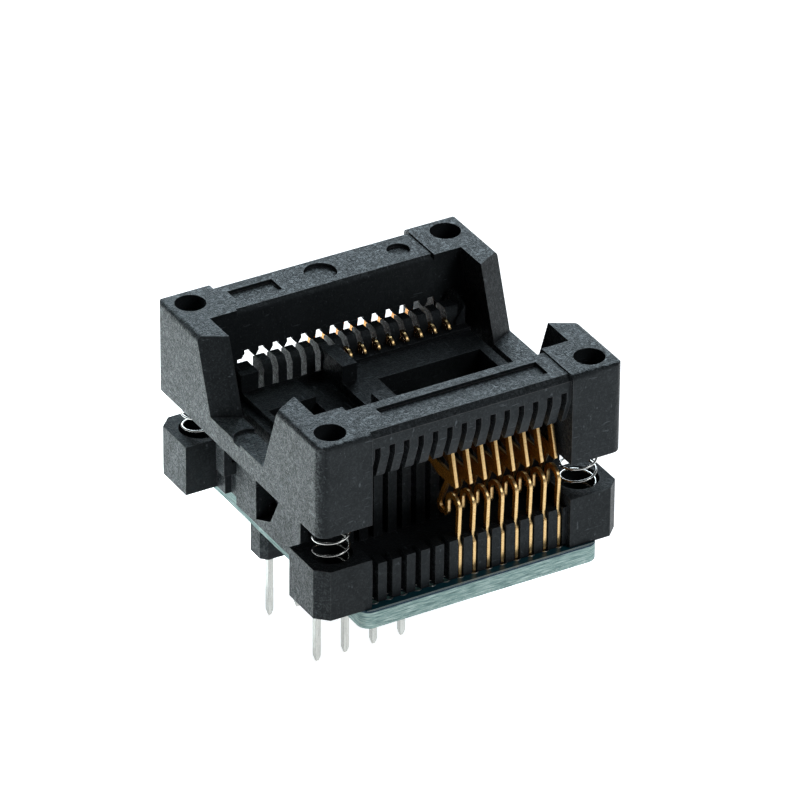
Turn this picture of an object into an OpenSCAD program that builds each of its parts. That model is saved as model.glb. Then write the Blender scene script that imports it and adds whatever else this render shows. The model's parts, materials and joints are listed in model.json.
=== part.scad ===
// Open-top test socket for small-outline chips, on a board with two rows of plug pins.
// Pressing the cover down against four springs swings both rows of contacts open.
// Millimetres. Origin: centre of the plug pin grid, on the underside of the header strips. +Z is up.

/* [Socket outline] */
// Width of the socket along the contact rows
socket_w = 27; // [26.6:0.1:32]
// Depth of the socket across the contact rows
socket_d = 26.1; // [26:0.1:30]
// Width of a corner post and of the block under it
post_w = 4.64; // [4.4:0.02:4.7]
// Depth of a corner post and of the block under it
post_d = 4.75; // [4.4:0.05:4.8]
// Height of the cover's top above the board
cover_top = 15.6; // [15.4:0.1:17]

/* [Contact rows] */
// Distance between neighbouring contact slots
contact_pitch = 1.27; // [1.2:0.01:1.3]
// Least length of bar beside the end slots
slot_margin = 0.3; // [0.2:0.01:0.35]
// Contacts fitted in each row, at the right-hand end
contact_count = 8; // [8]
// Width of a contact slot
slot_w = 0.5; // [0.45:0.01:0.6]
// Thickness of the contact sheet
contact_t = 0.29; // [0.2:0.01:0.32]
// Distance from the socket's front face to the middle of a contact's leg
leg_inset = 0.9; // [0.85:0.01:1]
// Width of the leg where it stands in the base
leg_w = 0.5; // [0.4:0.01:0.5]
// Width of the bent spring strip
strip_w = 0.42; // [0.3:0.01:0.46]
// Width of the tail that is soldered into the board
tail_w = 0.4; // [0.3:0.01:0.45]
// How far the arms swing when the cover is down, in degrees
swing_angle = 9; // [6:0.5:9]

/* [Cover] */
// Height of the cover's corner posts
cover_h = 8.04; // [7.8:0.02:8.2]
// How far the cover moves down
press_travel = 2.4; // [2:0.1:2.5]
// Gap between the base's end walls and the cover's
end_gap = 0.6; // [0.5:0.05:0.8]
// Depth of the opening for the chip, across the rows
opening_d = 16.5; // [16.4:0.1:16.7]
// Radius of the cover's upright corners
corner_r = 0.9; // [0.4:0.1:1.2]
// Radius of the cover's top edges
edge_r = 0.45; // [0.1:0.05:0.6]
// How far the bars stand back from the posts
bar_setback = 0.3; // [0.1:0.05:0.4]
// How far the bars lie below the post tops
bar_drop = 0.12; // [0.05:0.01:0.3]
// Diameter of the blind hole in each post
top_hole_d = 2.5; // [1.5:0.1:2.8]
// Depth of the blind hole in each post
top_hole_depth = 4; // [2:0.1:4.2]
// Distance of the blind holes from the cover's sides
top_hole_inset = 2; // [1.9:0.05:2.2]
// Height of the valley in the end walls, below the cover's top
valley_depth = 6.2; // [5:0.1:6.6]
// Half width of the valley floor at the outer face
valley_half = 4.2; // [3.6:0.1:4.6]
// Half width of the valley at the top of the outer face
valley_top_half = 6.4; // [5.6:0.1:6.6]
// Angle at which the valley opens outwards, in plan
valley_flare = 30; // [0:1:35]

/* [Base] */
// Height of the corner blocks
block_h = 4.4; // [4:0.1:4.8]
// Chamfer on the outer corner of each block
block_chamfer = 1; // [0.4:0.1:1.2]
// Height of the ribs that the contact legs stand between
floor_h = 3.5; // [3:0.1:3.7]
// How far the ribs between the legs stand back from the socket's front face
rib_setback = 0.55; // [0.4:0.01:0.6]
// Depth of the ribs between the legs
rib_d = 1.2; // [1:0.05:1.4]
// Height of the trough's floor, behind the ribs
trough_h = 2.3; // [2:0.1:2.7]
// Outer width across the base's end walls
base_w = 21.4; // [21.2:0.1:21.8]
// Thickness of the base's end walls
end_wall = 1.2; // [0.8:0.1:1.4]
// Height of the base's end walls
end_wall_h = 9.4; // [8:0.1:9.6]
// Outer depth across the two comb walls
comb_d = 14.7; // [14.5:0.1:14.9]
// Thickness of a comb wall
comb_t = 1.85; // [1.6:0.05:2.1]
// Height of the comb walls' flat tops
comb_h = 12; // [11.7:0.05:12.2]
// Height of the ledge that the chip's leads rest on
ledge_h = 10.6; // [10.4:0.05:10.65]
// Drop from the ledge to the platform under the chip
platform_drop = 0.25; // [0.1:0.05:0.6]
// Depth across the platform under the chip
platform_d = 8.9; // [8.5:0.1:9.1]
// Width of the channel along the middle of the platform
channel_w = 3.1; // [1.5:0.1:3.6]
// Height of the deck beside the chip's nest
deck_h = 9.4; // [7:0.1:9.6]
// Length of the chip's nest along the rows
nest_l = 10.7; // [10.5:0.05:10.8]
// Width of the bar that ends the nest
stop_w = 1.3; // [1:0.1:1.6]
// Height of the hollow under the base
hollow_h = 1.5; // [1:0.1:2]

/* [Springs] */
// Outer diameter of a spring
spring_d = 3; // [2.4:0.1:3.1]
// Wire diameter
wire_d = 0.2; // [0.15:0.01:0.3]
// Turns of a spring
spring_turns = 9; // [5:0.5:11]
// Gap round a spring in its wells
well_clearance = 0.2; // [0.1:0.05:0.25]
// Height of the lower well's floor above the board
well_floor = 1.5; // [1:0.1:2]
// Depth of the upper well in the cover's post
upper_well = 2.6; // [1.5:0.1:2.8]
// Distance of the spring from the socket's end faces
spring_inset_x = 2.45; // [2.4:0.05:2.5]
// Distance of the spring from the socket's front and back faces
spring_inset_y = 2.57; // [2.5:0.05:2.7]

/* [Board and pins] */
// Length of the board along the rows
board_w = 21.2; // [20:0.1:24]
// How far the board stands out beyond the socket's front and back
board_overhang = 0.35; // [0:0.01:0.6]
// Thickness of the board
board_t = 1.6; // [1:0.1:2]
// Radius of the board's corners
board_r = 1; // [0.2:0.1:2]
// Offset of the board from the socket's centre
board_dx = 0.8; // [0:0.05:1]
// Diameter of the holes for the contact tails
tail_hole_d = 0.75; // [0.7:0.01:0.8]
// Diameter of the holes for the header pins
pin_hole_d = 0.9; // [0.8:0.01:1]
// Pins in each header strip
pin_count = 4; // [4]
// Distance between neighbouring header pins
pin_pitch = 2.54; // [2.4:0.01:2.6]
// Distance between the two rows of header pins
row_gap = 7.62; // [7.4:0.01:8]
// Side of a square pin
pin_side = 0.5; // [0.4:0.01:0.55]
// Length of a pin below its header strip
pin_length = 6; // [4:0.1:9]
// Length of the tapered end of a pin
pin_taper = 0.5; // [0.2:0.05:1]
// Height of a header strip
strip_h = 2.54; // [1.5:0.01:3]
// Depth of a header strip
strip_d = 2.5; // [2:0.05:2.6]
// Distance from the pin grid's centre to the socket's centre
socket_dx = 4.7; // [4.5:0.05:4.8]

/* [Hidden] */
// Each corner's name and its signs along X and Y
CORNERS = [
    ["front_left", -1, -1],
    ["front_right", 1, -1],
    ["rear_left", -1, 1],
    ["rear_right", 1, 1]
];

$fn = 48;
// Clearance between faces that only just pass each other
fit = 0.02;
// Overlap used where one cut runs into another
bite = 0.5;

board_top = strip_h + board_t;
cover_bottom = cover_top - cover_h;
opening_w = base_w + 2 * end_gap;
opening_r = opening_d / 2;
skirt_r = opening_r - 0.6;
bar_r = socket_d / 2 - bar_setback;
bar_top = cover_top - bar_drop;
bar_w = socket_w - 2 * post_w;
leg_r = socket_d / 2 - leg_inset;
rib_r = socket_d / 2 - rib_setback;
board_d = socket_d + 2 * board_overhang;
comb_r = comb_d / 2;
island_r = comb_r - comb_t;
island_w = base_w - 2 * end_wall;
platform_h = ledge_h - platform_drop;
slot_count = floor((bar_w - slot_w - 2 * slot_margin) / contact_pitch) + 1;
first_slot = -(slot_count - 1) / 2 * contact_pitch;
first_contact = slot_count - contact_count;
nest_mid = first_slot + (first_contact + (contact_count - 1) / 2) * contact_pitch;
nest_left = nest_mid - nest_l / 2;
nest_right = nest_mid + nest_l / 2;

// Stamped contact: its bent strip runs up the leg, over a loop, round a flat turn and up to the head
jog_z = 2.8;
jog_h = 0.32;
jog_in = 0.2;
lean_top_z = 5.85;
lean_out = -0.06;
loop_r = 0.83;
fall_l = 0.85;
turn_r = 0.4;
turn_flat = 0.45;
rise_angle = 25;
tail_l = board_t + 0.7;

jog_top = [leg_r - jog_in, jog_z + jog_h];
lean_top = [leg_r + lean_out, lean_top_z];
lean_angle = atan2(lean_top[0] - jog_top[0], lean_top[1] - jog_top[1]);
loop_c = lean_top + loop_r * [-cos(lean_angle), sin(lean_angle)];
loop_end = loop_c - [loop_r, 0];
turn_start = loop_end - [0, fall_l];
outer_turn_c = turn_start - [turn_r, 0];
inner_turn_c = outer_turn_c - [turn_flat, 0];
// The flexure, where the contact is cut and its arm pivots
flex = inner_turn_c + turn_r * [-cos(rise_angle), sin(rise_angle)];

// Contact head: a knee, a lever that the cover's cam pushes, and a beak whose hook presses on the lead
knee = [leg_r - 0.57, 7.8];
knee_r = 0.2;
lever_tip = [leg_r - 1.5, 10.95];
lever_tip_r = 0.27;
vee_z = knee[1] + 0.9;
vee_in = 0.75;
head_bottom = knee[1] - knee_r;
beak_root_r = leg_r - 2.75;
beak_heel_r = leg_r - 3.15;
beak_bend = [leg_r - 4.1, head_bottom + 0.33];
hook_c = [platform_d / 2 + 0.85, ledge_h + 0.02];
hook_r = 0.66;
hook_inner_r = 0.3;
hook_end = 170;
hook_root = 60;
beak_top_l = 0.5;
// Neck of the beak, which stands in the comb wall's slot: its outer side, and its inner side
neck_out = [hook_c + [1.6, -1.67], hook_c + [1.05, -1.02]];
neck_in = [hook_c + [0.3, -1.42], hook_c + [0.7, -2.27]];
arc_steps = 10;

// Cam inside the cover's slots: it follows the lever's tip through the whole travel
cam_gap = 0.06;
cam_bottom = 11.5;
cam_back_r = leg_r - 2.05;
slot_top = cover_top - 1.5;
slot_inner_top = 12.15;
tip_open = swung(lever_tip) + [0, press_travel];
cam_dir = (tip_open - lever_tip) / norm(tip_open - lever_tip);
cam_point = lever_tip + (lever_tip_r + cam_gap) * [-cam_dir[1], cam_dir[0]];

// Teeth between the cover's slots
tooth_bottom = 11.05;
tooth_shoulder = 13.3;
tooth_tip_r = leg_r - 0.1;
tooth_root_r = leg_r - 0.85;
tooth_chamfer = 0.18;
tooth_tip_t = 0.35;
bar_bottom = 11.35;
// Thin skirt under the inner side of a bar, the groove behind it, and the wide mouths of the slots in it
skirt_bottom = 11.5;
skirt_t = 0.15;
groove_top = 11.9;
groove_w = 1.3;
groove_slope = [0.2, 0.3];
mouth_w = 1.1;
mouth_top = 11.87;

// Springs and their wells
spring_x = socket_w / 2 - spring_inset_x;
spring_y = socket_d / 2 - spring_inset_y;
well_d = spring_d + 2 * well_clearance;
spring_bottom = well_floor + fit;
spring_top = cover_bottom + upper_well - fit;
closed_turns = 1;
closed_pitch = 1.15 * wire_d;

// Latches that keep the cover on the base
latch_y = 6.1;
latch_w = 1.3;
latch_t = 0.7;
latch_bottom = 2.7;
latch_hook_h = 1.1;
latch_hook = 0.55;
latch_clearance = 0.25;
latch_gap = 0.1;
latch_in = base_w / 2 + latch_clearance;

// Bevelled top of a comb wall: how far it runs in and falls away on each side of its flat
gable_out_run = 0.4;
gable_out_fall = 0.3;
gable_in_run = 0.45;
gable_in_fall = 0.6;
// How much lower a comb wall is beyond its first slot
comb_end_drop = 0.55;

// Nest for the chip: the raised ends of its stop bar, and the posts at its far corners
stop_drop = 0.1;
stop_r = 2.24;
guide_rise = 0.65;
guide_r = platform_d / 2 + 0.82;
guide_lead_h = 0.32;
guide_tilt = 58;
guide_turn = 14;
guide_cut = 3;
// Deck beside the nest: the raised part at the far end, and a lip along each comb wall
deck_rise = 0.5;
deck_step_x = first_slot + 2.4 * contact_pitch;
deck_lip = 0.15;

// Slots of the base: room behind a leg, and how far a contact's slot in the comb wall runs into the island
leg_slot_gap = 0.4;
comb_slot_in = 0.5;
slot_end = island_r - comb_slot_in;

// Hollow under the base, the channel in the platform and the pit in the deck
hollow_margin_x = 0.6;
hollow_margin_y = 2;
joint_gap = 0.25;
channel_start = 1.5;
pit_half = 2.2;
pit_floor = 6.5;

// Opening in an end wall of the base
window_y = 2;
window_top = 5.5;
window_bottom = 0.4;
window_slope = [[-2, 4.6], [-0.3, 1.4]];

// Bare recesses in the bars' tops: centres along the bars, and sizes
recess_depth = 0.3;
rear_recess_x = -6.07;
rear_recess_size = [3.98, 1.8];
rear_disc_x = -0.17;
rear_disc_r = 1.33;
small_disc_x = 6.89;
small_disc_r = 0.94;
front_recess_x = 0.45;
front_recess_size = [14.2, 1.9];
valley_disc_r = 1.4;
valley_disc_in = 0.9;

// Solder joints
contact_joint_h = 0.6;
contact_joint_r = 0.6;
contact_joint_tip_r = 0.32;
pin_joint_h = 0.45;
pin_joint_r = 0.75;
pin_joint_tip_r = 0.4;
pin_above = 0.5;
cell_chamfer = 0.5;

// Hollow for the pins' joints, and the openings in the end walls, which are as deep as it
pin_hollow_reach = pin_joint_r + joint_gap;
hollow_end = socket_dx - pin_x(0) + pin_hollow_reach;
window_depth = base_w / 2 - hollow_end + bite;

// A point (distance from the centre plane, height) swung with the arm by the full angle
function swung(p) =
    let (d = p - flex)
    flex + [
        d[0] * cos(swing_angle) + d[1] * sin(swing_angle),
        d[1] * cos(swing_angle) - d[0] * sin(swing_angle)
    ];

// Points along an arc, from angle a0 to a1
function arc(c, r, a0, a1) =
    [for (k = [0:arc_steps]) let (a = a0 + (a1 - a0) * k / arc_steps) c + r * [cos(a), sin(a)]];

// Where an edge of the rising strip, offset from its middle, meets the underside of the head
function rise_at_head(offset) =
    let (start = flex + offset * [cos(rise_angle), -sin(rise_angle)])
    [start[0] + (head_bottom - start[1]) * tan(rise_angle), head_bottom];

function slot_x(i) = first_slot + i * contact_pitch;
function pin_x(i) = (i - (pin_count - 1) / 2) * pin_pitch;
// Height of a spring's wire after some turns: the end turns lie close, and the others share the rest
function coil_z(turn) =
    let (
        low = spring_bottom + wire_d / 2,
        high = spring_top - wire_d / 2,
        closed = closed_pitch * closed_turns,
        share = (turn - closed_turns) / (spring_turns - 2 * closed_turns)
    )
    turn < closed_turns ? low + closed_pitch * turn
    : turn > spring_turns - closed_turns ? high - closed_pitch * (spring_turns - turn)
    : low + closed + (high - low - 2 * closed) * share;

// A point of the cam's line at height z
function cam_at(z) = [cam_point[0] + (z - cam_point[1]) * cam_dir[0] / cam_dir[1], z];

// Places the children on the board, in the middle of the socket
module at_socket() {
    translate([socket_dx, 0, board_top]) children();
}

// Moves the children from the socket's middle to a corner's spring
module at_spring(corner) {
    translate([corner[1] * spring_x, corner[2] * spring_y, 0]) children();
}

// Draws the children in front, and mirrored at the back
module both_rows() {
    children();
    mirror([0, 1, 0]) children();
}

module both_ends() {
    children();
    mirror([1, 0, 0]) children();
}

module four_corners() {
    both_ends() both_rows() children();
}

// Draws the children in front, or mirrored at the back for the rear row
module in_row(rear) {
    if (rear) mirror([0, 1, 0]) children();
    else children();
}

// Turns an outline of (distance from the centre plane, height) upright and gives it a width along X
module across(width) {
    rotate([90, 0, -90]) linear_extrude(width, center = true) children();
}

module slab(x0, x1, y0, y1, z0, z1) {
    translate([x0, y0, z0]) cube([x1 - x0, y1 - y0, z1 - z0]);
}

module rounded_rectangle(w, d, r) {
    square([w - 2 * r, d], center = true);
    square([w, d - 2 * r], center = true);
    for (sx = [-1, 1], sy = [-1, 1])
        translate([sx * (w / 2 - r), sy * (d / 2 - r)]) circle(r);
}

// A rectangle standing on the line y = z0, with round top corners
module soft_top(w, z0, z1, r) {
    translate([-w / 2, z0]) square([w, z1 - z0 - r]);
    translate([-w / 2 + r, z0]) square([w - 2 * r, z1 - z0]);
    for (s = [-1, 1]) translate([s * (w / 2 - r), z1 - r]) circle(r);
}

module bar(a, b, w) {
    d = b - a;
    translate(a) rotate(atan2(d[1], d[0])) translate([0, -w / 2]) square([norm(d), w]);
}

// Part of a ring of middle radius r and width w, from angle a0 to a1
module bend(c, r, w, a0, a1) {
    reach = 2 * (r + w);
    step = (a1 - a0) / 4;
    translate(c) intersection() {
        difference() {
            circle(r + w / 2);
            circle(r - w / 2);
        }
        polygon(concat([[0, 0]], [for (k = [0:4]) reach * [cos(a0 + k * step), sin(a0 + k * step)]]));
    }
}

// Contact stamping below its flexure: tail, leg, loop and turn
module leg_outline() {
    translate([leg_r - tail_w / 2, -tail_l]) square([tail_w, tail_l]);
    translate([leg_r - leg_w / 2, 0]) square([leg_w, jog_z]);
    translate([leg_r, jog_z]) circle(strip_w / 2);
    bar([leg_r, jog_z], jog_top, strip_w);
    translate(jog_top) circle(strip_w / 2);
    bar(jog_top, lean_top, strip_w);
    bend(loop_c, loop_r, strip_w, -lean_angle, 180);
    bar(loop_end, turn_start, strip_w);
    bend(outer_turn_c, turn_r, strip_w, 270, 360);
    bar(outer_turn_c - [0, turn_r], inner_turn_c - [0, turn_r], strip_w);
    bend(inner_turn_c, turn_r, strip_w, 180 - rise_angle, 270);
}

// Contact stamping above its flexure: rising strip, knee, lever, and a beak that ends in a hook
module arm_outline() {
    outwards = [cos(rise_angle), -sin(rise_angle)];
    to_tip = lever_tip - knee;
    lever_angle = asin((knee_r - lever_tip_r) / norm(to_tip)) - atan2(to_tip[0], to_tip[1]);
    polygon(concat(
        [flex + strip_w / 2 * outwards, rise_at_head(strip_w / 2)],
        arc(knee, knee_r, -90, lever_angle),
        arc(lever_tip, lever_tip_r, lever_angle, 170),
        [[knee[0] - vee_in, vee_z], [beak_root_r, vee_z]],
        neck_out,
        [hook_c + [beak_top_l, hook_r]],
        arc(hook_c, hook_r, 90, hook_end),
        arc(hook_c, hook_inner_r, hook_end, hook_root),
        neck_in,
        [beak_bend, [beak_heel_r, head_bottom]],
        [rise_at_head(-strip_w / 2), flex - strip_w / 2 * outwards]
    ));
}

module contact_leg(i, rear) {
    color("goldenrod") at_socket() in_row(rear)
        translate([slot_x(first_contact + i - 1), 0, 0]) across(contact_t) leg_outline();
}

module contact_arm(i, rear) {
    color("goldenrod") at_socket() in_row(rear)
        translate([slot_x(first_contact + i - 1), 0, 0]) across(contact_t) arm_outline();
}

// One corner block: a box whose outer upright edge is cut off
module corner_block() {
    x0 = socket_w / 2 - post_w;
    y0 = socket_d / 2 - post_d;
    linear_extrude(block_h) polygon([
        [x0, y0],
        [socket_w / 2, y0],
        [socket_w / 2, socket_d / 2 - block_chamfer],
        [socket_w / 2 - block_chamfer, socket_d / 2],
        [x0, socket_d / 2]
    ]);
}

// Wall that the contact arms pass through, with a bevelled top
module comb_wall() {
    left = -island_w / 2 - 2 * bite;
    difference() {
        comb_wall_solid();
        slab(left, first_slot, -comb_r - bite, -island_r, comb_h - comb_end_drop, comb_h + bite);
    }
}

module comb_wall_solid() {
    across(island_w + 2 * bite) polygon([
        [island_r, floor_h - bite],
        [comb_r, floor_h - bite],
        [comb_r, comb_h - gable_out_fall],
        [comb_r - gable_out_run, comb_h],
        [island_r + gable_in_run, comb_h],
        [island_r, comb_h - gable_in_fall]
    ]);
}

// Middle of the base: ledges and platform under the chip, and a lower deck beside them
module island() {
    left = -island_w / 2 - bite;
    right = island_w / 2 + bite;
    stop_left = nest_left - stop_w;
    ledge_r = platform_d / 2;
    deck_top = deck_h + deck_rise;
    slab(left, nest_left, -island_r, island_r, floor_h - bite, deck_h);
    slab(left, deck_step_x, -island_r, island_r, floor_h - bite, deck_top);
    slab(stop_left, right, -island_r, island_r, floor_h - bite, platform_h);
    both_rows() {
        slab(stop_left, right, -island_r, -ledge_r, platform_h - bite, ledge_h);
        slab(left, stop_left + bite, -island_r, -island_r + deck_lip, deck_h - bite, deck_top);
        slab(stop_left, nest_left, -island_r - bite, -stop_r, platform_h - bite, comb_h - stop_drop);
        corner_guide();
    }
}

// Post at the nest's outer corner, with a sloping face that leads the chip in
module corner_guide() {
    difference() {
        slab(nest_right, island_w / 2 + bite, -comb_r, -guide_r, platform_h - bite, comb_h + guide_rise);
        translate([nest_right, -guide_r, ledge_h + guide_lead_h]) rotate([0, -guide_tilt, -guide_turn])
            translate([-guide_cut, -guide_cut, 0]) cube([2 * guide_cut, 2 * guide_cut, guide_cut]);
    }
}

module base_solid() {
    four_corners() corner_block();
    slab(-bar_w / 2 - bite, bar_w / 2 + bite, -rib_r, rib_r, 0, floor_h);
    slab(-base_w / 2, base_w / 2, -socket_d / 2 + post_d - bite, socket_d / 2 - post_d + bite, 0, floor_h);
    both_ends() slab(-base_w / 2, -base_w / 2 + end_wall, -comb_r, comb_r, 0, end_wall_h);
    both_rows() comb_wall();
    island();
}

// Slots for one contact: an open slot for its leg, a gap between the ribs and a slot through the comb wall
module contact_slot(x, inner_r) {
    left = x - slot_w / 2;
    right = x + slot_w / 2;
    leg_slot_r = leg_r - leg_w / 2 - leg_slot_gap;
    slab(left, right, -rib_r - bite, -leg_slot_r, -bite, floor_h + bite);
    slab(left, right, -leg_slot_r - bite, -inner_r, trough_h, comb_h + bite);
}

// Trough behind the ribs, along the foot of the comb wall
module trough() {
    slab(-bar_w / 2, bar_w / 2, -rib_r + rib_d, -comb_r, trough_h, floor_h + bite);
}

// Hollow under the base for the joints of the header pins that lie beyond the main hollow
module pin_hollow() {
    half = row_gap / 2 + pin_hollow_reach;
    slab(-hollow_end, 0, -half, half, -bite, hollow_h);
}

// Opening in an end wall, with one sloping side
module end_window() {
    translate([-base_w / 2 - bite, 0, 0]) rotate([90, 0, 90]) linear_extrude(window_depth + bite)
        polygon(concat(
            [[window_y, window_bottom], [window_y, window_top], [-window_y, window_top]],
            window_slope
        ));
}

// Groove in an end wall for the hook of a latch; its top is the hook's stop
module latch_groove() {
    half = latch_w / 2 + latch_clearance;
    slab(
        -base_w / 2 - bite, -base_w / 2 + latch_hook,
        latch_y - half, latch_y + half,
        -bite, latch_bottom + latch_hook_h + latch_gap
    );
}

module base() {
    channel = channel_w / 2;
    hollow_x = bar_w / 2 - hollow_margin_x;
    hollow_y = leg_r - hollow_margin_y;
    color([0.16, 0.17, 0.18]) at_socket() difference() {
        base_solid();
        both_rows() {
            for (i = [0:slot_count - 1]) contact_slot(slot_x(i), i < first_contact ? island_r : slot_end);
            trough();
        }
        slab(-island_w / 2, deck_step_x, -pit_half, pit_half, pit_floor, deck_h + deck_rise + bite);
        slab(nest_left + channel_start, nest_right, -channel, channel, floor_h, ledge_h + bite);
        for (corner = CORNERS)
            at_spring(corner) translate([0, 0, well_floor]) cylinder(h = block_h, d = well_d);
        slab(-hollow_x, hollow_x, -hollow_y, hollow_y, -bite, hollow_h);
        pin_hollow();
        end_window();
        rotate([0, 0, 180]) end_window();
        four_corners() latch_groove();
    }
}

// Cross-section of a cover bar and of the teeth below it
module bar_outline() {
    polygon([
        [skirt_r + skirt_t, skirt_bottom],
        [skirt_r, skirt_bottom],
        [opening_r, bar_top - edge_r],
        [opening_r + edge_r, bar_top],
        [bar_r - edge_r, bar_top],
        [bar_r, bar_top - edge_r],
        [bar_r, tooth_shoulder],
        [tooth_tip_r, tooth_bottom + tooth_chamfer],
        [tooth_tip_r - tooth_chamfer, tooth_bottom],
        [tooth_tip_r - tooth_tip_t, tooth_bottom],
        [tooth_root_r, bar_bottom],
        [skirt_r + skirt_t + groove_w, bar_bottom],
        [skirt_r + skirt_t + groove_w - groove_slope[1], groove_top],
        [skirt_r + skirt_t + groove_slope[0], groove_top]
    ]);
}

// Slot for one contact: open to the front, with the cam and a sloping roof over the beak
module cover_slot_outline() {
    far = socket_d / 2 + bite;
    low = tooth_bottom - bite;
    polygon([
        [far, low],
        [far, slot_top],
        cam_at(slot_top),
        cam_at(cam_bottom),
        [cam_back_r, cam_bottom],
        [skirt_r, slot_inner_top],
        [skirt_r - bite, slot_inner_top],
        [skirt_r - bite, low]
    ]);
}

// Mouth of a slot in the skirt, wider towards its bottom
module slot_mouth() {
    reach = skirt_t + groove_slope[0];
    low = skirt_bottom - bite;
    translate([0, -skirt_r + bite, 0]) rotate([90, 0, 0]) linear_extrude(bite + reach) polygon([
        [-slot_w / 2, mouth_top],
        [-mouth_w / 2, skirt_bottom],
        [-mouth_w / 2, low],
        [mouth_w / 2, low],
        [mouth_w / 2, skirt_bottom],
        [slot_w / 2, mouth_top]
    ]);
}

module cover_bar() {
    difference() {
        across(opening_w + 2 * bite) bar_outline();
        for (i = [0:slot_count - 1]) translate([slot_x(i), 0, 0]) {
            across(slot_w) cover_slot_outline();
            slot_mouth();
        }
    }
}

module corner_post() {
    slab(
        socket_w / 2 - post_w, socket_w / 2,
        opening_r, socket_d / 2,
        cover_bottom, cover_top
    );
}

// Valley cut into an end wall: a floor between two slopes that open outwards
module valley() {
    floor_z = cover_top - valley_depth;
    run = (valley_top_half - valley_half) * cos(valley_flare);
    rise = valley_depth + bite;
    top_run = run * rise / valley_depth;
    both_rows() translate([-socket_w / 2, -valley_half, floor_z]) rotate([0, 0, valley_flare])
        rotate([90, 0, 90]) translate([0, 0, -valley_half]) linear_extrude(3 * valley_half)
            polygon([[0, 0], [valley_half + bite, 0], [valley_half + bite, rise], [-top_run, rise]]);
}

module end_wall_of_cover() {
    difference() {
        slab(-socket_w / 2, -opening_w / 2, -opening_r - bite, opening_r + bite, cover_bottom, cover_top);
        valley();
    }
}

// Arm with a hook that hangs from the cover's end wall and catches under the base's groove
module latch() {
    slab(
        -latch_in - latch_t, -latch_in,
        latch_y - latch_w / 2, latch_y + latch_w / 2,
        latch_bottom, cover_bottom + bite
    );
    slab(
        -latch_in - latch_t, -latch_in + latch_hook,
        latch_y - latch_w / 2, latch_y + latch_w / 2,
        latch_bottom, latch_bottom + latch_hook_h
    );
}

// Outer envelope of the cover, with round upright corners and soft top edges
module cover_envelope() {
    intersection() {
        translate([0, 0, latch_bottom]) linear_extrude(cover_top)
            rounded_rectangle(socket_w, socket_d, corner_r);
        rotate([90, 0, 0]) linear_extrude(2 * socket_d, center = true)
            soft_top(socket_w, latch_bottom - bite, cover_top, edge_r);
        rotate([90, 0, 90]) linear_extrude(2 * socket_w, center = true)
            soft_top(socket_d, latch_bottom - bite, cover_top, edge_r);
    }
}

// A shallow recess from the plane z downwards: a rectangle or a disc
module recess_box(x, y, z, size) {
    translate([x - size[0] / 2, y - size[1] / 2, z - recess_depth])
        cube([size[0], size[1], recess_depth + bite]);
}

module recess_disc(x, y, z, r) {
    translate([x, y, z - recess_depth]) cylinder(h = recess_depth + bite, r = r);
}

// Bare recesses in the tops of the bars and in one valley
module cover_recesses() {
    bar_mid = (opening_r + bar_r) / 2;
    recess_box(rear_recess_x, bar_mid, bar_top, rear_recess_size);
    recess_disc(rear_disc_x, bar_mid, bar_top, rear_disc_r);
    recess_disc(small_disc_x, bar_mid, bar_top, small_disc_r);
    recess_box(front_recess_x, -bar_mid, bar_top, front_recess_size);
    recess_disc(-opening_w / 2 - valley_disc_in, 0, cover_top - valley_depth, valley_disc_r);
}

module cover() {
    color([0.2, 0.21, 0.22]) at_socket() difference() {
        intersection() {
            union() {
                four_corners() corner_post();
                both_rows() cover_bar();
                both_ends() end_wall_of_cover();
                four_corners() latch();
            }
            cover_envelope();
        }
        for (corner = CORNERS) {
            hole_x = corner[1] * (socket_w / 2 - top_hole_inset);
            hole_y = corner[2] * (socket_d / 2 - top_hole_inset);
            translate([hole_x, hole_y, cover_top - top_hole_depth])
                cylinder(h = top_hole_depth + bite, d = top_hole_d);
            at_spring(corner) translate([0, 0, cover_bottom - bite])
                cylinder(h = upper_well + bite, d = well_d);
        }
        cover_recesses();
    }
}

// A coil spring with closed ends, swept as one ring of points per step along its helix
module spring(corner) {
    sides = 6;
    steps = 14;
    rings = floor(spring_turns * steps);
    mid_r = (spring_d - wire_d) / 2;
    points = [
        for (k = [0:rings], j = [0:sides - 1])
            let (
                turn = spring_turns * k / rings,
                side = 360 * j / sides,
                out = mid_r + wire_d / 2 * cos(side)
            )
            [out * cos(360 * turn), out * sin(360 * turn), coil_z(turn) + wire_d / 2 * sin(side)]
    ];
    walls = [
        for (k = [0:rings - 1], j = [0:sides - 1])
            let (a = k * sides, b = a + sides, n = (j + 1) % sides)
            [a + j, b + j, b + n, a + n]
    ];
    ends = [
        [for (j = [0:sides - 1]) j],
        [for (j = [sides - 1:-1:0]) rings * sides + j]
    ];
    color("silver") at_socket() at_spring(corner) polyhedron(points, concat(walls, ends));
}

module circuit_board() {
    color([0.05, 0.3, 0.33]) translate([0, 0, strip_h]) difference() {
        translate([socket_dx + board_dx, 0, 0]) linear_extrude(board_t)
            rounded_rectangle(board_w, board_d, board_r);
        translate([socket_dx, 0, -bite]) both_rows() for (i = [0:slot_count - 1])
            translate([slot_x(i), -leg_r, 0]) cylinder(h = board_t + 2 * bite, d = tail_hole_d);
        both_rows() for (i = [0:pin_count - 1])
            translate([pin_x(i), -row_gap / 2, -bite]) cylinder(h = board_t + 2 * bite, d = pin_hole_d);
    }
}

// Insulator with one cell for each pin, and a square hole through each cell
module header_strip(rear) {
    hole = pin_side + 2 * fit;
    color([0.12, 0.12, 0.13]) in_row(rear) translate([0, -row_gap / 2, 0]) difference() {
        linear_extrude(strip_h) for (i = [0:pin_count - 1]) translate([pin_x(i), 0]) header_cell();
        for (i = [0:pin_count - 1])
            translate([pin_x(i), 0, strip_h / 2]) cube([hole, hole, 2 * strip_h], center = true);
    }
}

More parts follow.
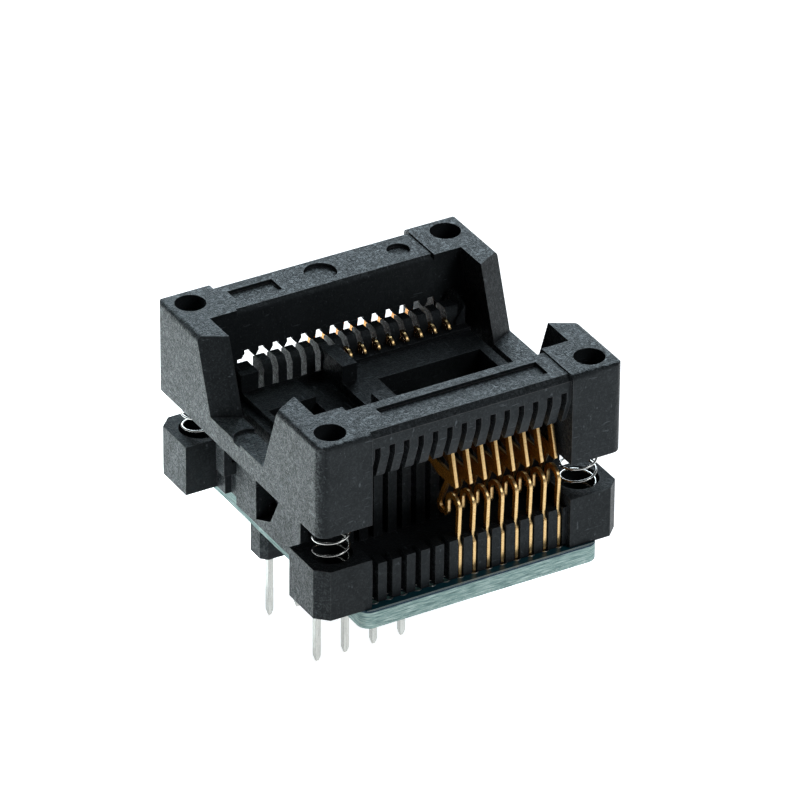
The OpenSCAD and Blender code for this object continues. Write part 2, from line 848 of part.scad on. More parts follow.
module header_cell() {
    w = pin_pitch / 2;
    d = strip_d / 2;
    c = cell_chamfer;
    polygon([
        [-w, -d + c], [-w + c, -d], [w - c, -d], [w, -d + c],
        [w, d - c], [w - c, d], [-w + c, d], [-w, d - c]
    ]);
}

// One face of a square pin, tapered at its lower end
module pin_outline(top) {
    half = pin_side / 2;
    polygon([
        [-half, top],
        [-half, -pin_length + pin_taper],
        [-half / 2, -pin_length],
        [half / 2, -pin_length],
        [half, -pin_length + pin_taper],
        [half, top]
    ]);
}

module header_pin(i, rear) {
    top = board_top + pin_above;
    color("lightgray") in_row(rear) translate([pin_x(i - 1), -row_gap / 2, 0]) intersection() {
        rotate([90, 0, 0]) linear_extrude(2 * pin_side, center = true) pin_outline(top);
        rotate([90, 0, 90]) linear_extrude(2 * pin_side, center = true) pin_outline(top);
    }
}

// Solder cones round the contact tails, under the board
module contact_solder(rear) {
    color("silver") at_socket() in_row(rear) for (i = [first_contact:slot_count - 1])
        translate([slot_x(i), -leg_r, -board_t]) difference() {
            rotate([180, 0, 0])
                cylinder(h = contact_joint_h, r1 = contact_joint_r, r2 = contact_joint_tip_r);
            cube([contact_t, tail_w, 4 * contact_joint_h], center = true);
        }
}

// Solder cones round the header pins, on top of the board
module header_solder() {
    color("silver") translate([0, 0, board_top]) both_rows() for (i = [0:pin_count - 1])
        translate([pin_x(i), -row_gap / 2, 0]) difference() {
            cylinder(h = pin_joint_h, r1 = pin_joint_r, r2 = pin_joint_tip_r);
            cube([pin_side, pin_side, 4 * pin_joint_h], center = true);
        }
}

base();
cover();
for (corner = CORNERS) spring(corner);
for (i = [1:contact_count]) {
    contact_leg(i, false);
    contact_arm(i, false);
    contact_leg(i, true);
    contact_arm(i, true);
}
circuit_board();
header_strip(false);  // front_header_strip
header_strip(true);  // rear_header_strip
for (i = [1:pin_count]) {
    header_pin(i, false);
    header_pin(i, true);
}
contact_solder(false);  // front_contact_solder
contact_solder(true);  // rear_contact_solder
header_solder();
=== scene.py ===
"""Looks of an open-top chip test socket on a plug-in board, made around its CAD frame."""
import json
import math

import bmesh
import bpy
from mathutils import Matrix, Vector

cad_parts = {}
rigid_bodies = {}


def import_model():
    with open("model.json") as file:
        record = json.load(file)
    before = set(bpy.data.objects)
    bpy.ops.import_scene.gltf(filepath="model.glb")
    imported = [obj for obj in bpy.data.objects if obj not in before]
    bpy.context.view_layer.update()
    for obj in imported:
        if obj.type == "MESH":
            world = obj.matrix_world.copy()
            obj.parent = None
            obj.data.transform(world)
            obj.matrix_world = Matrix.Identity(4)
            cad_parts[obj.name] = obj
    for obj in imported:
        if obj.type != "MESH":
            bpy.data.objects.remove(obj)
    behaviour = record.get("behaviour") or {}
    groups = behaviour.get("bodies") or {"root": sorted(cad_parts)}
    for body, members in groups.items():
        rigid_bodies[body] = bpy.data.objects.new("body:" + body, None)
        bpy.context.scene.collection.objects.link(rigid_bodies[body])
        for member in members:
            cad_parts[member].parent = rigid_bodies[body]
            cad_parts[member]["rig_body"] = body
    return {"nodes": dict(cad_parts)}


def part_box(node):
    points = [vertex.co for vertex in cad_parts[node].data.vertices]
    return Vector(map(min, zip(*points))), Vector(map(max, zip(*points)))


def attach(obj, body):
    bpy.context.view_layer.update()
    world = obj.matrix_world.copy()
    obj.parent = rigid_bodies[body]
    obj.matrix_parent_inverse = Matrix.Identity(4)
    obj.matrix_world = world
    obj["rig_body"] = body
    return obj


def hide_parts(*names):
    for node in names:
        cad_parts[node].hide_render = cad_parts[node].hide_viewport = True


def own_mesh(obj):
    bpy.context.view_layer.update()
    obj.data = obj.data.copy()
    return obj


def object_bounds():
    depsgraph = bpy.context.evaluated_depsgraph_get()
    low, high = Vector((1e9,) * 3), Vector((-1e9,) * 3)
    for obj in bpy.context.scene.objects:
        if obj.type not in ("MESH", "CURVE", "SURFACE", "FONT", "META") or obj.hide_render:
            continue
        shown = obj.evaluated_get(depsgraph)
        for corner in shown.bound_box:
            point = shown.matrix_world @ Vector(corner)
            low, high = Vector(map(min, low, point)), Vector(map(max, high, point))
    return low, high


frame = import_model()
cad_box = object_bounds()
nodes = frame["nodes"]

MM = 0.001
CONTACTS = range(1, 9)
PINS = range(1, 5)
ROWS = ("front", "rear")

# Sizes that follow the CAD part
CONTACT_PITCH = 1.27 * MM
EMPTY_SLOTS = range(1, 7)
SPRING_TURNS = 9
SPRING_WIRE = 0.2 * MM
CLOSED_PITCH = 1.15
TAIL_HOLE_R = 0.375 * MM
PIN_HOLE_R = 0.45 * MM
CONTACT_JOINT_R = 0.6 * MM
CONTACT_JOINT_TIP_R = 0.32 * MM
PIN_JOINT_R = 0.75 * MM
PIN_JOINT_TIP_R = 0.4 * MM

# Sizes of the dressing
SPRING_STEPS = 36
SPRING_SIDES = 10
RING_SIDES = 28
FILLET_STEPS = 6
FILLET_HOLLOW = 1.8
PAD_HEIGHT = 0.03 * MM
TAIL_PAD_R = 0.5 * MM
PIN_PAD_R = 0.85 * MM

# Broken edges: the width of each piece's round, and what counts as an edge
COVER_ROUND = 0.07 * MM
BASE_ROUND = 0.05 * MM
STRIP_ROUND = 0.06 * MM
BOARD_ROUND = 0.04 * MM
PIN_ROUND = 0.04 * MM
CONTACT_ROUND = 0.03 * MM
ROUND_SEGMENTS = 2
EDGE_ANGLE = math.radians(40)
FLAT_ANGLE = math.radians(1)
SAME_PLACE = 0.0005 * MM

# Plastic: grain, sheen and scuffs, with less of the grain and sheen on front and rear faces
COVER_LEVEL = 0.02
BASE_LEVEL = 0.016
STRIP_LEVEL = 0.014
CLOUD = 2.6 * MM
GRAIN = 0.16 * MM
GRAIN_DEPTH = 0.065 * MM
VEIN = 0.38 * MM
SPECK = 0.12 * MM
SCUFF_WIDTH = 0.16 * MM
WEAR = 0.5 * MM
SHEEN = 0.8
DULL_SHEEN = 0.02
FRONT_GRAIN = 0.2
FRONT_SKIN = 0.1
SCUFF = 0.45
SHEEN_TINT = (0.82, 0.95, 1, 1)

# Metal: rounding that bends the normals at the edges of contacts and pins and sets where painted shade goes,
# features and colours
STAMPED_ROUND = 0.1 * MM
DRAWN_ROUND = 0.13 * MM
BEVEL_SAMPLES = 6
SHEAR_RIBS = 0.05 * MM
RIB_DEPTH = 0.012 * MM
PLATING_PATCH = 0.6 * MM
# Contacts' faces along X: plating colour, with painted glow reflected between the contacts
SIDE_GOLD_GLOW = ((0.42, 0.15, 0.012), (0.62, 0.27, 0.04))
SHEARED_GOLD = ((0.5, 0.28, 0.09), (0.82, 0.6, 0.3))
# Painted shade at the rounded corners of the contacts' sheared edges
CORNER_SHADE_GOLD = (0.36, 0.14, 0.015, 1)
# Painted shade for the branch behind each lever
SHADED_BRANCH_GOLD = (0.07, 0.028, 0.005, 1)
STEEL = (0.72, 0.72, 0.7)
STEEL_PATCH = 1.2 * MM
SOLDER = (0.75, 0.75, 0.73)
SOLDER_PATCH = 0.3 * MM
TARNISH = 0.72
TARNISH_DEPTH = 0.006 * MM
TIN = ((0.5, 0.51, 0.49), (0.64, 0.65, 0.62))
# Painted shade on the pins' faces along X, and at the wire's edges
TIN_SIDE_SHADE = (0.22, 0.23, 0.22, 1)
TIN_EDGE_SHADE = (0.08, 0.085, 0.08, 1)
TIN_SPECK = (0.2, 0.2, 0.19, 1)
DRAWN_LINES = 0.1 * MM
DRAWN_DEPTH = 0.004 * MM
PIN_SPECK = 0.12 * MM

# Painted shade on the branch of a contact's arm behind its lever, where the cover keeps light off: its
# distances from the middle plane, and a height below it
BRANCH_FROM = 8.4 * MM
BRANCH_TO = 10.9 * MM
BRANCH_ABOVE = 11.6 * MM

# Board: bare rim round the mask, dark line under it, painted shade on the end faces, features and colours
MASK_SETBACK = 0.2 * MM
TOP_LINE_DEPTH = 0.17 * MM
END_SHADE = 0.35
WEAVE = 0.35 * MM
FIBRE_LAYERS = 0.5 * MM
FIBRE_DEPTH = 0.02 * MM
CHIPS = 0.18 * MM
MASK = ((0.003, 0.05, 0.075), (0.008, 0.08, 0.11))
BARE_RIM = (0.75, 0.9, 0.9, 1)
FIBRE = ((0.07, 0.15, 0.15), (0.27, 0.42, 0.4), (0.62, 0.77, 0.73))
CHIPPED_FIBRE = (0.8, 0.9, 0.86, 1)
LINE_COLOUR = (0.002, 0.03, 0.06, 1)
# Painted shade on the board's end faces
END_SHADE_FIBRE = (0.02, 0.045, 0.045, 1)

BLACK = (0, 0, 0)
WHITE = (1, 1, 1)

# Camera at the photograph's viewpoint
CAMERA_AZIMUTH = math.radians(30.173)
CAMERA_ELEVATION = math.radians(31.35)
CAMERA_ROLL = math.radians(0.489)
CAMERA_DISTANCE = 613.74 * MM
CAMERA_TARGET = Vector((5.372, -0.666, 13.491)) * MM
CAMERA_LENS = 354.4
CAMERA_SENSOR = 36.0


def new_object(name, data):
    item = bpy.data.objects.new(name, data)
    bpy.context.scene.collection.objects.link(item)
    return item


def make_camera():
    level = math.cos(CAMERA_ELEVATION)
    back = Vector((
        -math.sin(CAMERA_AZIMUTH) * level,
        -math.cos(CAMERA_AZIMUTH) * level,
        math.sin(CAMERA_ELEVATION),
    ))
    right = Vector((math.cos(CAMERA_AZIMUTH), -math.sin(CAMERA_AZIMUTH), 0))
    up = back.cross(right)
    rolled_right = math.cos(CAMERA_ROLL) * right + math.sin(CAMERA_ROLL) * up
    rolled_up = math.cos(CAMERA_ROLL) * up - math.sin(CAMERA_ROLL) * right
    data = bpy.data.cameras.new("camera")
    data.lens = CAMERA_LENS
    data.sensor_width = CAMERA_SENSOR
    data.clip_start = 0.01
    data.clip_end = 20
    camera = new_object("camera", data)
    turn = Matrix((rolled_right, rolled_up, back)).transposed().to_4x4()
    camera.matrix_world = Matrix.Translation(CAMERA_TARGET + CAMERA_DISTANCE * back) @ turn
    bpy.context.scene.camera = camera


# Light and floor
FLOOR_SIZE = 3.0
FLOOR_GLOW = 0.9
FLOOR_COLOUR = (0.9, 0.9, 0.9, 1)
WORLD_STRENGTH = 0.04
WORLD_COLOUR = (0.9, 0.96, 1, 1)
STUDIO_MIDDLE = Vector((5, 0, 8)) * MM
BACK_PANEL = {"place": (0.26, 0.44, 0.31), "size": 0.46, "brightness": 6.4, "colour": (0.8, 0.92, 1)}
FRONT_FILL = {"place": (0.26, -0.43, 0.34), "size": 0.26, "brightness": 4, "colour": (0.96, 0.98, 1)}
WASH_FROM = Vector((-120, 260, 480)) * MM
WASH_AT = Vector((-30, 34, -6)) * MM
WASH_ANGLE = math.radians(7.5)
WASH_ENERGY = 36
WASH_COLOUR = (0.88, 1, 1)
WASH_BLEND = 0.6
WASH_RADIUS = 20 * MM


def soft_panel(name, place, size, brightness, colour):
    """A round panel of light, aimed at the object.

    Brightness is its radiance, where the floor is about 1.
    """
    data = bpy.data.lights.new(name, "AREA")
    data.shape = "DISK"
    data.size = size
    data.energy = brightness * math.pi * math.pi * (size / 2) ** 2
    data.color = colour
    lamp = new_object(name, data)
    lamp.location = STUDIO_MIDDLE + Vector(place)
    lamp.rotation_euler = (-Vector(place)).to_track_quat("-Z", "Y").to_euler()


def floor_wash():
    """A spot that brightens the floor behind the object and to its left, which the end faces mirror."""
    data = bpy.data.lights.new("floor_wash", "SPOT")
    data.energy = WASH_ENERGY
    data.color = WASH_COLOUR
    data.spot_size = WASH_ANGLE
    data.spot_blend = WASH_BLEND
    data.shadow_soft_size = WASH_RADIUS
    lamp = new_object("floor_wash", data)
    lamp.location = WASH_FROM
    lamp.rotation_euler = (WASH_AT - WASH_FROM).to_track_quat("-Z", "Y").to_euler()


def make_studio():
    scene = bpy.context.scene
    scene.view_settings.view_transform = "Standard"
    world = bpy.data.worlds.new("studio")
    world.use_nodes = True
    background = world.node_tree.nodes["Background"].inputs
    background["Color"].default_value = WORLD_COLOUR
    background["Strength"].default_value = WORLD_STRENGTH
    scene.world = world
    soft_panel("back_panel", **BACK_PANEL)
    soft_panel("front_fill", **FRONT_FILL)
    floor_wash()
    half = FLOOR_SIZE / 2
    z = cad_box[0].z
    mesh = bpy.data.meshes.new("floor")
    corners = [(-half, -half, z), (half, -half, z), (half, half, z), (-half, half, z)]
    mesh.from_pydata(corners, [], [(0, 1, 2, 3)])
    mesh.materials.append(floor_material())
    new_object("floor", mesh)


class Surface:
    """A material's node tree, with short calls that add and join nodes.

    Coordinates are the part's, in metres.
    """

    def __init__(self, name, roughness=0.5, metallic=0.0):
        self.material = bpy.data.materials.new(name)
        self.material.use_nodes = True
        self.tree = self.material.node_tree
        self.shader = self.tree.nodes["Principled BSDF"]
        self.shader.inputs["Roughness"].default_value = roughness
        self.shader.inputs["Metallic"].default_value = metallic
        self.place = self.add("ShaderNodeTexCoord").outputs["Object"]

    def add(self, kind, inputs=None, **settings):
        node = self.tree.nodes.new(kind)
        for key, value in settings.items():
            setattr(node, key, value)
        for key, value in (inputs or {}).items():
            self.feed(node.inputs[key], value)
        return node

    def feed(self, socket, value):
        if isinstance(value, bpy.types.NodeSocket):
            self.tree.links.new(value, socket)
        else:
            socket.default_value = value

    def set(self, **inputs):
        for key, value in inputs.items():
            self.feed(self.shader.inputs[key.replace("_", " ")], value)

    def stretched(self, factors):
        """The part's coordinates times a factor on each axis. A small one draws noise out along its axis."""
        return self.add("ShaderNodeMapping", {"Vector": self.place, "Scale": factors}).outputs["Vector"]

    def noise(self, grain, detail=2.0, rough=0.5, vector=None, curl=0.0):
        """Noise whose features are about grain metres across. Curl bends them into hooks and loops."""
        inputs = {"Vector": vector or self.place, "Scale": 1 / grain, "Detail": detail, "Roughness": rough}
        inputs["Distortion"] = curl
        return self.add("ShaderNodeTexNoise", inputs).outputs["Fac"]

    def ramp(self, factor, stops):
        node = self.add("ShaderNodeValToRGB", {"Fac": factor})
        band = node.color_ramp
        while len(band.elements) < len(stops):
            band.elements.new(0.5)
        for element, (at, colour) in zip(band.elements, stops):
            element.position = at
            element.color = (*colour, 1) if len(colour) == 3 else colour
        return node.outputs["Color"]

    def spread(self, factor, low, high, to_low, to_high):
        """Maps low to high onto another range, and holds its ends beyond them."""
        inputs = {"Value": factor, "From Min": low, "From Max": high, "To Min": to_low, "To Max": to_high}
        return self.add("ShaderNodeMapRange", inputs).outputs["Result"]

    def blend(self, factor, a, b, how="MIX"):
        node = self.add("ShaderNodeMix", data_type="RGBA", blend_type=how)
        self.feed(node.inputs["Factor"], factor)
        colours = [s for s in node.inputs if s.type == "RGBA"]
        self.feed(colours[0], a)
        self.feed(colours[1], b)
        return next(s for s in node.outputs if s.type == "RGBA")

    def maths(self, how, a, b=0.0):
        node = self.add("ShaderNodeMath", operation=how)
        self.feed(node.inputs[0], a)
        self.feed(node.inputs[1], b)
        return node.outputs[0]

    def coordinate(self, axis):
        return self.add("ShaderNodeSeparateXYZ", {"Vector": self.place}).outputs[axis]

    def facing(self, axis):
        """How far the surface faces along an axis, either way, from 0 to 1."""
        normal = self.add("ShaderNodeTexCoord").outputs["Normal"]
        part = self.add("ShaderNodeSeparateXYZ", {"Vector": normal}).outputs[axis]
        return self.maths("ABSOLUTE", part)

    def beyond(self, axis, low, high, margin):
        """1 nearer than margin to either of two planes across an axis, and 0 between them."""
        off = self.maths("ABSOLUTE", self.maths("SUBTRACT", self.coordinate(axis), (low + high) / 2))
        return self.maths("GREATER_THAN", off, (high - low) / 2 - margin)

    def rounding(self, radius):
        """The normal that a small round would give each edge, and how flat the surface is there, up to 1."""
        rounded = self.add("ShaderNodeBevel", {"Radius": radius}, samples=BEVEL_SAMPLES).outputs["Normal"]
        flat = self.add("ShaderNodeVectorMath", operation="DOT_PRODUCT")
        self.feed(flat.inputs[0], rounded)
        self.feed(flat.inputs[1], self.add("ShaderNodeNewGeometry").outputs["Normal"])
        return rounded, flat.outputs["Value"]

    def bump(self, height, strength, depth, normal=None):
        inputs = {"Height": height, "Strength": strength, "Distance": depth}
        if normal:
            inputs["Normal"] = normal
        return self.add("ShaderNodeBump", inputs).outputs["Normal"]


def grey(level):
    """A cool grey of the moulded plastic."""
    return (level, 1.15 * level, 1.27 * level, 1)


def floor_material():
    surface = Surface("pale_floor", roughness=0.9)
    surface.set(Base_Color=FLOOR_COLOUR, Emission_Color=(1, 1, 1, 1), Emission_Strength=FLOOR_GLOW)
    return surface.material


def moulded_plastic(name, level, roughness, top_skin=1.0):
    """Charcoal plastic from an eroded mould: fine grain, dull hairlines, pale specks and scuffs.

    Top_skin is the share of the sheen that faces along Z keep.
    """
    s = Surface(name)
    cloud = s.noise(CLOUD, 3)
    grain = s.noise(GRAIN, 3, 0.7)
    vein = s.noise(VEIN, 3, 0.6, s.stretched((1, 1, 0.9)), curl=1.0)
    speck = s.noise(SPECK, 1, 0.5, s.stretched((1, 1, 0.8)))
    tone = s.ramp(cloud, [(0.3, grey(0.82 * level)[:3]), (0.7, grey(1.15 * level)[:3])])
    pale = s.ramp(speck, [(0.66, BLACK), (0.8, WHITE)])
    tone = s.blend(s.maths("MULTIPLY", pale, 0.5), tone, grey(3.5 * level))
    scuff_along = s.noise(SCUFF_WIDTH, 1, 0.5, s.stretched((0.12, 0.5, 1)))
    scuff_across = s.noise(SCUFF_WIDTH, 1, 0.5, s.stretched((0.5, 0.12, 0.3)))
    scuff = s.maths("MAXIMUM", scuff_along, scuff_across)
    tone = s.blend(s.spread(scuff, 0.7, 0.78, 0.0, SCUFF), tone, grey(6 * level))
    hairline = s.maths("ABSOLUTE", s.maths("SUBTRACT", vein, 0.5))
    open_skin = s.spread(hairline, 0.0, 0.13, 0.0, 1.0)
    skin = s.maths("MULTIPLY", open_skin, s.spread(grain, 0.35, 0.65, 0.5, 1.0))
    eroded = s.spread(s.facing("Y"), 0.5, 0.9, 1.0, FRONT_GRAIN)
    skin = s.spread(eroded, 0.0, 1.0, FRONT_SKIN, skin)
    skin = s.maths("MULTIPLY", skin, s.spread(s.facing("Z"), 0.5, 0.9, 1.0, top_skin))
    height = s.maths("ADD", grain, s.maths("MULTIPLY", open_skin, 0.25))
    s.set(Base_Color=tone, Roughness=s.spread(grain, 0.3, 0.7, roughness - 0.08, roughness + 0.08))
    s.set(Specular_IOR_Level=s.spread(skin, 0.0, 1.0, DULL_SHEEN, SHEEN), Specular_Tint=SHEEN_TINT)
    s.set(Normal=s.bump(height, eroded, GRAIN_DEPTH))
    return s.material


def worn_edge(name, level):
    """The same plastic where an edge is rubbed smooth."""
    s = Surface(name)
    patch = s.noise(WEAR, 4, 0.6)
    s.set(Base_Color=s.ramp(patch, [(0.35, grey(1.1 * level)[:3]), (0.7, grey(2.1 * level)[:3])]))
    s.set(Roughness=s.spread(patch, 0.3, 0.7, 0.5, 0.38))
    return s.material


def plated_gold():
    """Gold plating on a stamped sheet.

    The rolled sides are smooth, orange with painted glow; the sheared edges pale and ribbed, with painted
    shade at corners.
    """
    s = Surface("plated_gold", metallic=1.0)
    ribs = s.noise(SHEAR_RIBS, 3, 0.7, s.stretched((0.3, 1, 1)))
    patch = s.noise(PLATING_PATCH, 3)
    # Painted reflection over the plating colour: the orange, less metallic faces along X stand in for glow
    # between contacts
    side_glow = s.ramp(patch, [(0.3, SIDE_GOLD_GLOW[0]), (0.7, SIDE_GOLD_GLOW[1])])
    sheared = s.ramp(ribs, [(0.3, SHEARED_GOLD[0]), (0.6, SHEARED_GOLD[1])])
    on_side = s.spread(s.facing("X"), 0.6, 0.8, 0.0, 1.0)
    rounded, flat = s.rounding(STAMPED_ROUND)
    # Painted shade: the colour darkens where the rounded normal turns away, at the corners of the sheared
    # faces
    sheared = s.blend(s.spread(flat, 0.75, 0.98, 0.8, 0.0), sheared, CORNER_SHADE_GOLD)
    # Painted shade: the up-facing branch behind each lever is darkened, as the cover shades it
    far = s.maths("ABSOLUTE", s.coordinate("Y"))
    inside = s.maths("LESS_THAN", far, BRANCH_TO)
    branch = s.maths("MULTIPLY", s.maths("GREATER_THAN", far, BRANCH_FROM), inside)
    branch = s.maths("MULTIPLY", branch, s.maths("GREATER_THAN", s.coordinate("Z"), BRANCH_ABOVE))
    branch = s.maths("MULTIPLY", branch, s.spread(s.facing("Z"), 0.6, 0.9, 0.0, 0.9))
    sheared = s.blend(branch, sheared, SHADED_BRANCH_GOLD)
    s.set(Base_Color=s.blend(on_side, sheared, side_glow), Roughness=s.spread(on_side, 0.0, 1.0, 0.3, 0.24))
    s.set(Metallic=s.spread(on_side, 0.0, 1.0, 1.0, 0.75), Normal=s.bump(ribs, 0.3, RIB_DEPTH, rounded))
    return s.material


def bright_metal(name, colour, roughness, grain):
    """Bare metal, darker and rougher where it is tarnished."""
    s = Surface(name, metallic=1.0)
    patch = s.noise(grain, 3, 0.6)
    dark = tuple(TARNISH * c for c in colour)
    s.set(Base_Color=s.ramp(patch, [(0.35, dark), (0.6, colour)]))
    s.set(Roughness=s.spread(patch, 0.3, 0.7, roughness, roughness + 0.14))
    s.set(Normal=s.bump(patch, 0.1, TARNISH_DEPTH))
    return s.material


def tin_plate():
    """Dull plating on square wire, streaked along Z where it was drawn.

    It has painted shade at the wire's edges, and painted shade on the two faces along X.
    """
    s = Surface("tin_plate", metallic=1.0)
    lines = s.noise(DRAWN_LINES, 3, 0.6, s.stretched((1, 1, 0.08)))
    specks = s.noise(PIN_SPECK, 2, 0.6, s.stretched((1, 1, 0.6)))
    plate_and_shade = s.ramp(lines, [(0.35, TIN[0]), (0.6, TIN[1])])
    rounded, flat = s.rounding(DRAWN_ROUND)
    # Painted shade on the wire's two faces along X
    plate_and_shade = s.blend(s.spread(s.facing("X"), 0.6, 0.8, 0.0, 0.4), plate_and_shade, TIN_SIDE_SHADE)
    # Painted shade: the colour darkens at the wire's rounded edges
    plate_and_shade = s.blend(s.spread(flat, 0.75, 0.995, 0.85, 0.0), plate_and_shade, TIN_EDGE_SHADE)
    plate_and_shade = s.blend(s.spread(specks, 0.64, 0.74, 0.0, 0.6), plate_and_shade, TIN_SPECK)
    s.set(Base_Color=plate_and_shade, Roughness=s.spread(lines, 0.3, 0.7, 0.22, 0.36))
    s.set(Normal=s.bump(lines, 0.05, DRAWN_DEPTH))
    return s.material


def board_material():
    """Dark teal solder mask that stops short of the outline, and pale glass fibre at the sawn edge."""
    s = Surface("circuit_board")
    low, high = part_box("circuit_board")
    mask = s.ramp(s.noise(WEAVE, 2), [(0.3, MASK[0]), (0.7, MASK[1])])
    end_rim = s.beyond("X", low.x, high.x, MASK_SETBACK)
    side_rim = s.beyond("Y", low.y, high.y, MASK_SETBACK)
    face = s.blend(s.maths("MAXIMUM", end_rim, side_rim), mask, BARE_RIM)
    layers = s.noise(FIBRE_LAYERS, 5, 0.7, s.stretched((0.3, 0.3, 5)))
    fibre = s.ramp(layers, [(0.34, FIBRE[0]), (0.5, FIBRE[1]), (0.66, FIBRE[2])])
    chipped = s.noise(CHIPS, 3, 0.7)
    pale = s.ramp(chipped, [(0.55, BLACK), (0.72, WHITE)])
    low_half = s.spread(s.coordinate("Z"), low.z, low.z + 0.5 * (high.z - low.z), 0.7, 0.0)
    fibre = s.blend(s.maths("MULTIPLY", pale, low_half), fibre, CHIPPED_FIBRE)
    # A dark line along the top of the sawn edge
    in_top_line = s.maths("GREATER_THAN", s.coordinate("Z"), high.z - TOP_LINE_DEPTH)
    edge = s.blend(in_top_line, fibre, LINE_COLOUR)
    # Painted shade: the end faces along X are darkened
    shaded_end = s.spread(s.facing("X"), 0.6, 0.9, 0.0, END_SHADE)
    edge = s.blend(shaded_end, edge, END_SHADE_FIBRE)
    on_face = s.spread(s.facing("Z"), 0.4, 0.6, 0.0, 1.0)
    s.set(Base_Color=s.blend(on_face, edge, face), Roughness=s.spread(on_face, 0.0, 1.0, 0.75, 0.32))
    s.set(Normal=s.bump(layers, 0.2, FIBRE_DEPTH))
    return s.material


def piece_of(name, body, material, solid):
    """Turns a bmesh into a smooth piece that rides on a body."""
    mesh = bpy.data.meshes.new(name)
    solid.to_mesh(mesh)
    solid.free()
    mesh.materials.append(material)
    mesh.shade_smooth()
    piece = new_object(name, mesh)
    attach(piece, body)
    return piece


def add_rings(solid, rings, closed=False):
    """Joins rings of points, one after the other, into a skin. A closed skin runs back to its first ring."""
    rows = [[solid.verts.new(p) for p in ring] for ring in rings]
    pairs = list(zip(rows, rows[1:] + rows[:1]))
    for a, b in pairs if closed else pairs[:-1]:
        for k in range(len(a)):
            n = (k + 1) % len(a)
            solid.faces.new((a[k], a[n], b[n], b[k]))
    return rows


def circle_points(x, y, z, r, sides):
    turns = [2 * math.pi * k / sides for k in range(sides)]
    return [Vector((x + r * math.cos(t), y + r * math.sin(t), z)) for t in turns]


def coil_spring(node, material):
    """A wound wire with closed ends, in place of the CAD spring. It shortens as the cover comes down."""
    low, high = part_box(node)
    x, y = (low.x + high.x) / 2, (low.y + high.y) / 2
    mid_r = (high.x - low.x - SPRING_WIRE) / 2
    first, last = low.z + SPRING_WIRE / 2, high.z - SPRING_WIRE / 2
    closed = CLOSED_PITCH * SPRING_WIRE
    open_turns = SPRING_TURNS - 2
    rings = []
    for k in range(SPRING_TURNS * SPRING_STEPS + 1):
        turn = k / SPRING_STEPS
        share = (turn - 1) / open_turns
        z = first + closed + (last - first - 2 * closed) * share
        if turn < 1:
            z = first + closed * turn
        if turn > SPRING_TURNS - 1:
            z = last - closed * (SPRING_TURNS - turn)
        out = Vector((math.cos(2 * math.pi * turn), math.sin(2 * math.pi * turn), 0))
        centre = Vector((x, y, z)) + mid_r * out
        turns = [2 * math.pi * j / SPRING_SIDES for j in range(SPRING_SIDES)]
        up = Vector((0, 0, 1))
        rings.append([centre + SPRING_WIRE / 2 * (math.cos(t) * out + math.sin(t) * up) for t in turns])
    solid = bmesh.new()
    rows = add_rings(solid, rings)
    solid.faces.new(rows[0])
    solid.faces.new(rows[-1])
    bmesh.ops.recalc_face_normals(solid, faces=solid.faces)
    piece = piece_of(f"{node}_coil", nodes[node]["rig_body"], material, solid)
    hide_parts(node)
    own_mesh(piece)
    return piece


def middle(node):
    low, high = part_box(node)
    return ((low.x + high.x) / 2, (low.y + high.y) / 2)


def solder_fillets(node, spots, root, tip, root_r, tip_r, material):
    """Hollow cones of solder in place of a node, one at each spot, from the board up or down the lead."""
    solid = bmesh.new()
    for x, y in spots:
        rings = []
        for k in range(FILLET_STEPS + 1):
            share = k / FILLET_STEPS
            r = tip_r + (root_r - tip_r) * (1 - share) ** FILLET_HOLLOW
            rings.append(circle_points(x, y, root + (tip - root) * share, r, RING_SIDES))
        rows = add_rings(solid, rings)
        solid.faces.new(rows[0])
        solid.faces.new(rows[-1])
    bmesh.ops.recalc_face_normals(solid, faces=solid.faces)
    piece = piece_of(f"{node}_fillets", nodes[node]["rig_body"], material, solid)
    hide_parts(node)
    return piece


def pad_rings(name, spots, z, up, hole_r, pad_r, material):
    """Plated rings round the board's holes, on one of its faces."""
    solid = bmesh.new()
    top = z + up * PAD_HEIGHT
    for x, y in spots:
        profile = [(hole_r, z), (hole_r, top), (pad_r - PAD_HEIGHT, top), (pad_r, z)]
        add_rings(solid, [circle_points(x, y, h, r, RING_SIDES) for r, h in profile], closed=True)
    bmesh.ops.recalc_face_normals(solid, faces=solid.faces)
    return piece_of(name, nodes["circuit_board"]["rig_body"], material, solid)


def softened(name, node, width, materials):
    """A copy of a CAD node with its edges broken by a small round, in place of the node and on its body.

    A second material goes on the rounds.
    """
    mesh = bpy.data.meshes.new(name)
    solid = bmesh.new()
    solid.from_mesh(nodes[node].data)
    bmesh.ops.remove_doubles(solid, verts=solid.verts, dist=SAME_PLACE)
    bmesh.ops.dissolve_limit(
        solid, angle_limit=FLAT_ANGLE, verts=solid.verts, edges=solid.edges, delimit={"NORMAL"})
    corners = [e for e in solid.edges if e.is_manifold and e.calc_face_angle() > EDGE_ANGLE]
    bmesh.ops.bevel(
        solid, geom=corners, offset=width, offset_type="OFFSET", segments=ROUND_SEGMENTS, profile=0.5,
        affect="EDGES", clamp_overlap=True, material=1 if len(materials) > 1 else 0)
    solid.to_mesh(mesh)
    solid.free()
    for material in materials:
        mesh.materials.append(material)
    mesh.shade_smooth()
    mesh.set_sharp_from_angle(angle=EDGE_ANGLE)
    piece = new_object(name, mesh)
    flat = piece.modifiers.new("flat_faces", "WEIGHTED_NORMAL")
    flat.keep_sharp = True
    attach(piece, nodes[node]["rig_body"])
    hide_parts(node)
    return piece


make_camera()
make_studio()

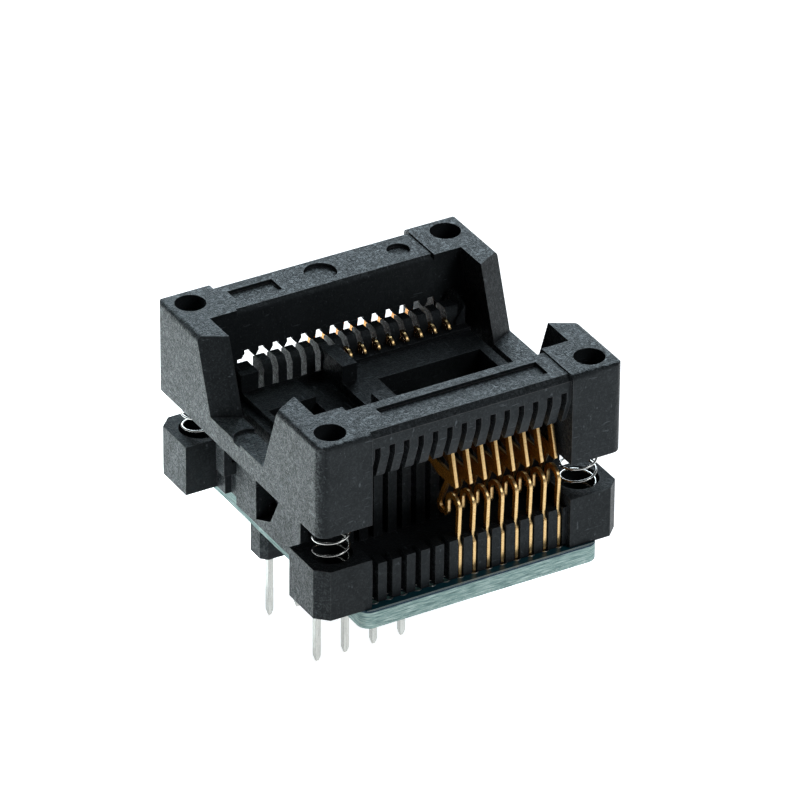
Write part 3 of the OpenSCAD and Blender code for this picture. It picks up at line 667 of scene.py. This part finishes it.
cover_plastic = moulded_plastic("cover_plastic", COVER_LEVEL, 0.42)
base_plastic = moulded_plastic("base_plastic", BASE_LEVEL, 0.46, top_skin=0.2)
header_plastic = moulded_plastic("header_plastic", STRIP_LEVEL, 0.5)
cover_edge = worn_edge("cover_edge", COVER_LEVEL)
base_edge = worn_edge("base_edge", BASE_LEVEL)
gold = plated_gold()
steel = bright_metal("spring_steel", STEEL, 0.12, STEEL_PATCH)
tin = tin_plate()
solder = bright_metal("solder", SOLDER, 0.26, SOLDER_PATCH)
board = board_material()

softened("base_moulding", "base", BASE_ROUND, [base_plastic, base_edge])
softened("cover_moulding", "cover", COVER_ROUND, [cover_plastic, cover_edge])
for row in ROWS:
    for i in CONTACTS:
        for part in ("leg", "arm"):
            node = f"{row}_contact_{part}_{i}"
            softened(f"{node}_stamping", node, CONTACT_ROUND, [gold])
    for i in PINS:
        node = f"{row}_header_pin_{i}"
        softened(f"{node}_wire", node, PIN_ROUND, [tin])
    node = f"{row}_header_strip"
    softened(f"{node}_moulding", node, STRIP_ROUND, [header_plastic])
for corner in ("front_left", "front_right", "rear_left", "rear_right"):
    coil_spring(f"spring_{corner}", steel)
softened("board_panel", "circuit_board", BOARD_ROUND, [board])

board_low, board_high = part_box("circuit_board")
pin_spots = [middle(f"{row}_header_pin_{i}") for row in ROWS for i in PINS]
tail_spots = []
for row in ROWS:
    low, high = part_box(f"{row}_contact_solder")
    row_y = (low.y + high.y) / 2
    tails = [(middle(f"{row}_contact_leg_{i}")[0], row_y) for i in CONTACTS]
    tail_spots += tails + [(tails[0][0] - k * CONTACT_PITCH, row_y) for k in EMPTY_SLOTS]
    joint = solder_fillets(
        f"{row}_contact_solder", tails, high.z, low.z, CONTACT_JOINT_R, CONTACT_JOINT_TIP_R, solder)
low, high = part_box("header_solder")
joint = solder_fillets("header_solder", pin_spots, low.z, high.z, PIN_JOINT_R, PIN_JOINT_TIP_R, solder)
for name, spots, hole_r, pad_r in (
    ("tail", tail_spots, TAIL_HOLE_R, TAIL_PAD_R),
    ("pin", pin_spots, PIN_HOLE_R, PIN_PAD_R),
):
    pad_rings(f"{name}_pads_above", spots, board_high.z, 1, hole_r, pad_r, solder)
    pad_rings(f"{name}_pads_below", spots, board_low.z, -1, hole_r, pad_r, solder)
